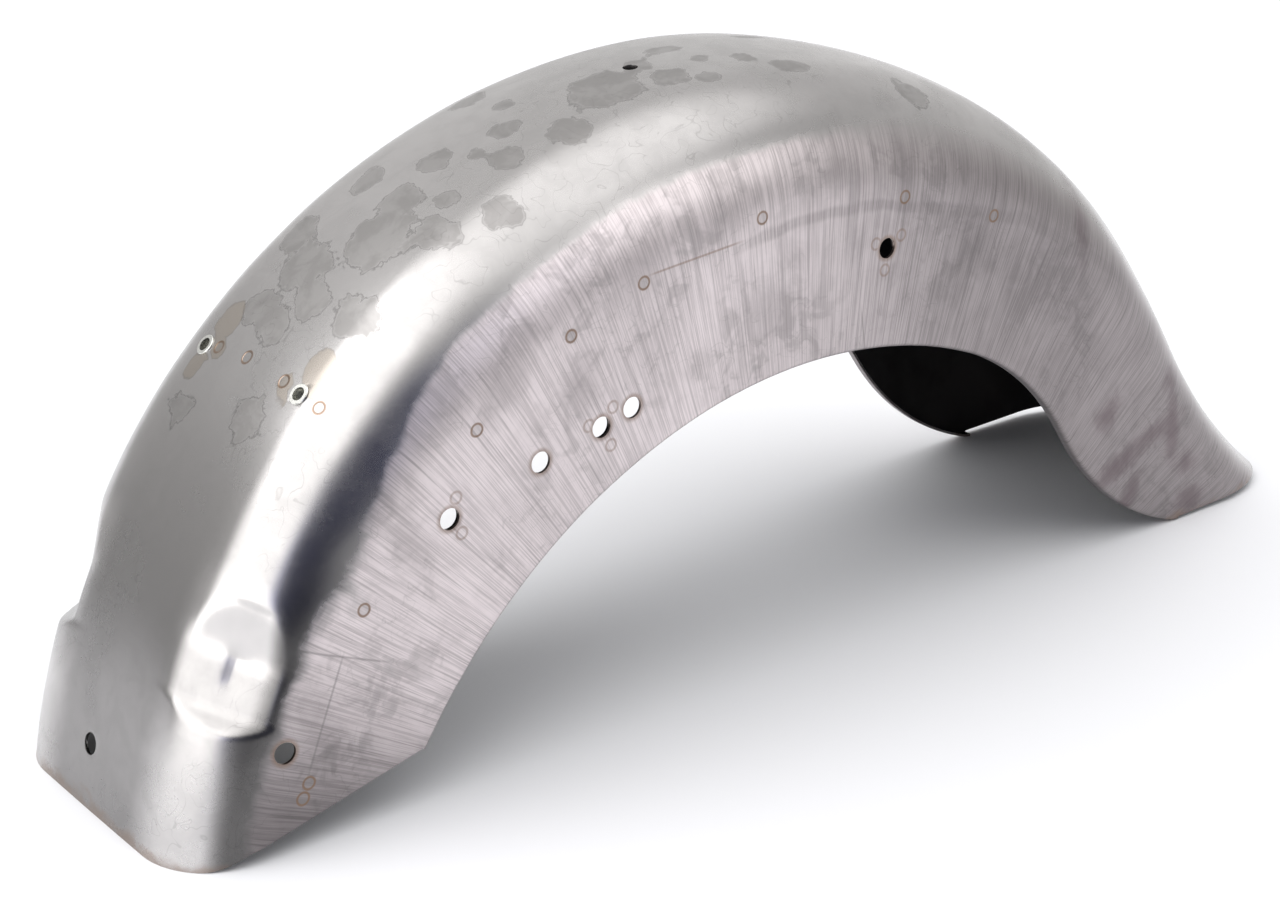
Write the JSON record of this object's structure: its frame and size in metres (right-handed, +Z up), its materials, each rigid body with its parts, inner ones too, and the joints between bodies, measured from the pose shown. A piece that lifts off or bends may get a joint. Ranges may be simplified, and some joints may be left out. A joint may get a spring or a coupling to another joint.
{
  "type": "motorcycle rear fender",
  "caption": "Rear motorcycle fender pressed from raw sheet steel: domed crown, flat side walls with a lipped wheel arch, flared tail, dented front shoulders, strut holes.",
  "frame": {"origin": "on the ground under the middle of the fender's length and width, at the bottom of its box", "axes": "+X to the tail, +Y to the motorcycle's right-hand side, +Z up; the fender stands on its front crown edge and on the feet of its two side lobes, as in the picture"},
  "size_m": [0.7756, 0.176, 0.3092],
  "materials": {
    "raw_steel": "bare pressed sheet with grinding scratches, blotches and thin rust marks",
    "inner_steel": "bare steel, spot-welded to the inside",
    "zinc": "bright zinc plating"
  },
  "bodies": {
    "root": {"fender_shell": "raw_steel", "side_strap_left": "inner_steel", "side_strap_right": "inner_steel", "middle_doubler_left": "inner_steel", "middle_doubler_right": "inner_steel", "rear_doubler_left": "inner_steel", "rear_doubler_right": "inner_steel", "crown_plate": "inner_steel", "crown_insert_left": "zinc", "crown_insert_right": "zinc", "seat_nut": "inner_steel"}
  },
  "joints": []
}
